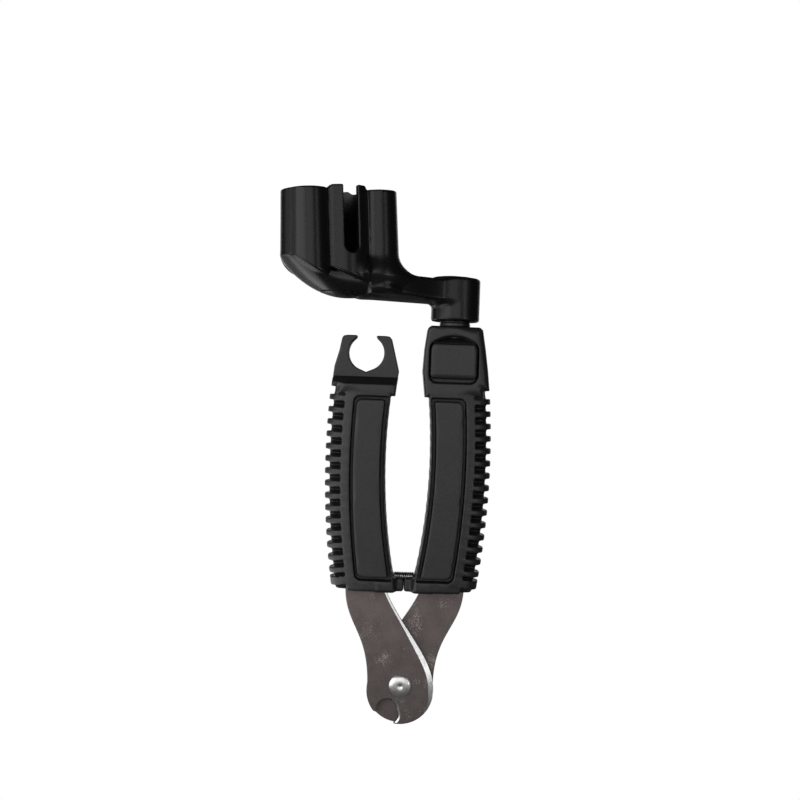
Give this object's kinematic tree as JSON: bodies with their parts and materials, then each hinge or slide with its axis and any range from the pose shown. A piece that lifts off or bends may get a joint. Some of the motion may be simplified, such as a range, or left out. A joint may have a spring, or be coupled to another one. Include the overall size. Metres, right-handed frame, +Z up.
{
  "type": "string winder",
  "caption": "Peg-winder crank on a pair of ribbed handles, with a string cutter at one end and a bridge-pin claw at the other.",
  "frame": {"origin": "on the crank shaft's axis, in the middle of the fixed right handle's grip", "axes": "+Z up the tool along the shaft towards the peg cup's mouth, +X from the left handle to the right one, -Y out of the front, where the rivet's dished head is"},
  "size_m": [0.0707, 0.0418, 0.1741],
  "materials": {
    "handle_plastic": "satin moulded black, fine texture",
    "panel_plastic": "fine spark-eroded texture",
    "head_plastic": "glossy moulded black",
    "bush_plastic": "smooth",
    "blade_steel": "brown-grey tumbled steel with a bright ground edge",
    "plated_steel": "dull nickel plating"
  },
  "bodies": {
    "right_handle": {"right_front_shell": "handle_plastic", "right_back_shell": "handle_plastic", "right_front_inlay": "panel_plastic", "right_back_inlay": "panel_plastic", "back_blade": "blade_steel", "right_tang_pins": "plated_steel", "right_shell_screws": "plated_steel", "shaft_bush": "bush_plastic", "shaft_cover": "panel_plastic", "pivot_rivet": "plated_steel", "rivet_washer": "plated_steel", "handle_spring": "plated_steel"},
    "left_handle": {"left_front_shell": "handle_plastic", "left_back_shell": "handle_plastic", "left_front_inlay": "panel_plastic", "left_back_inlay": "panel_plastic", "front_blade": "blade_steel", "left_tang_pins": "plated_steel", "left_shell_screws": "plated_steel"},
    "winder": {"winder_head": "head_plastic", "winder_shaft": "plated_steel", "head_plug": "head_plastic", "thrust_washer": "bush_plastic", "retaining_clip": "plated_steel"}
  },
  "joints": [
    {"name": "handle_pivot", "type": "hinge", "parent": "right_handle", "child": "left_handle", "pos_m": [-0.0141, 0, -0.066], "axis": [0, -1, 0], "range_deg": [0, 25], "stiffness_Nm_per_rad": 0.12, "springref_deg": -34.38, "deforming": ["handle_spring"]},
    {"name": "crank_spin", "type": "hinge", "parent": "right_handle", "child": "winder", "pos_m": [0, 0, 0.054], "axis": [0, 0, 1], "continuous": true}
  ]
}
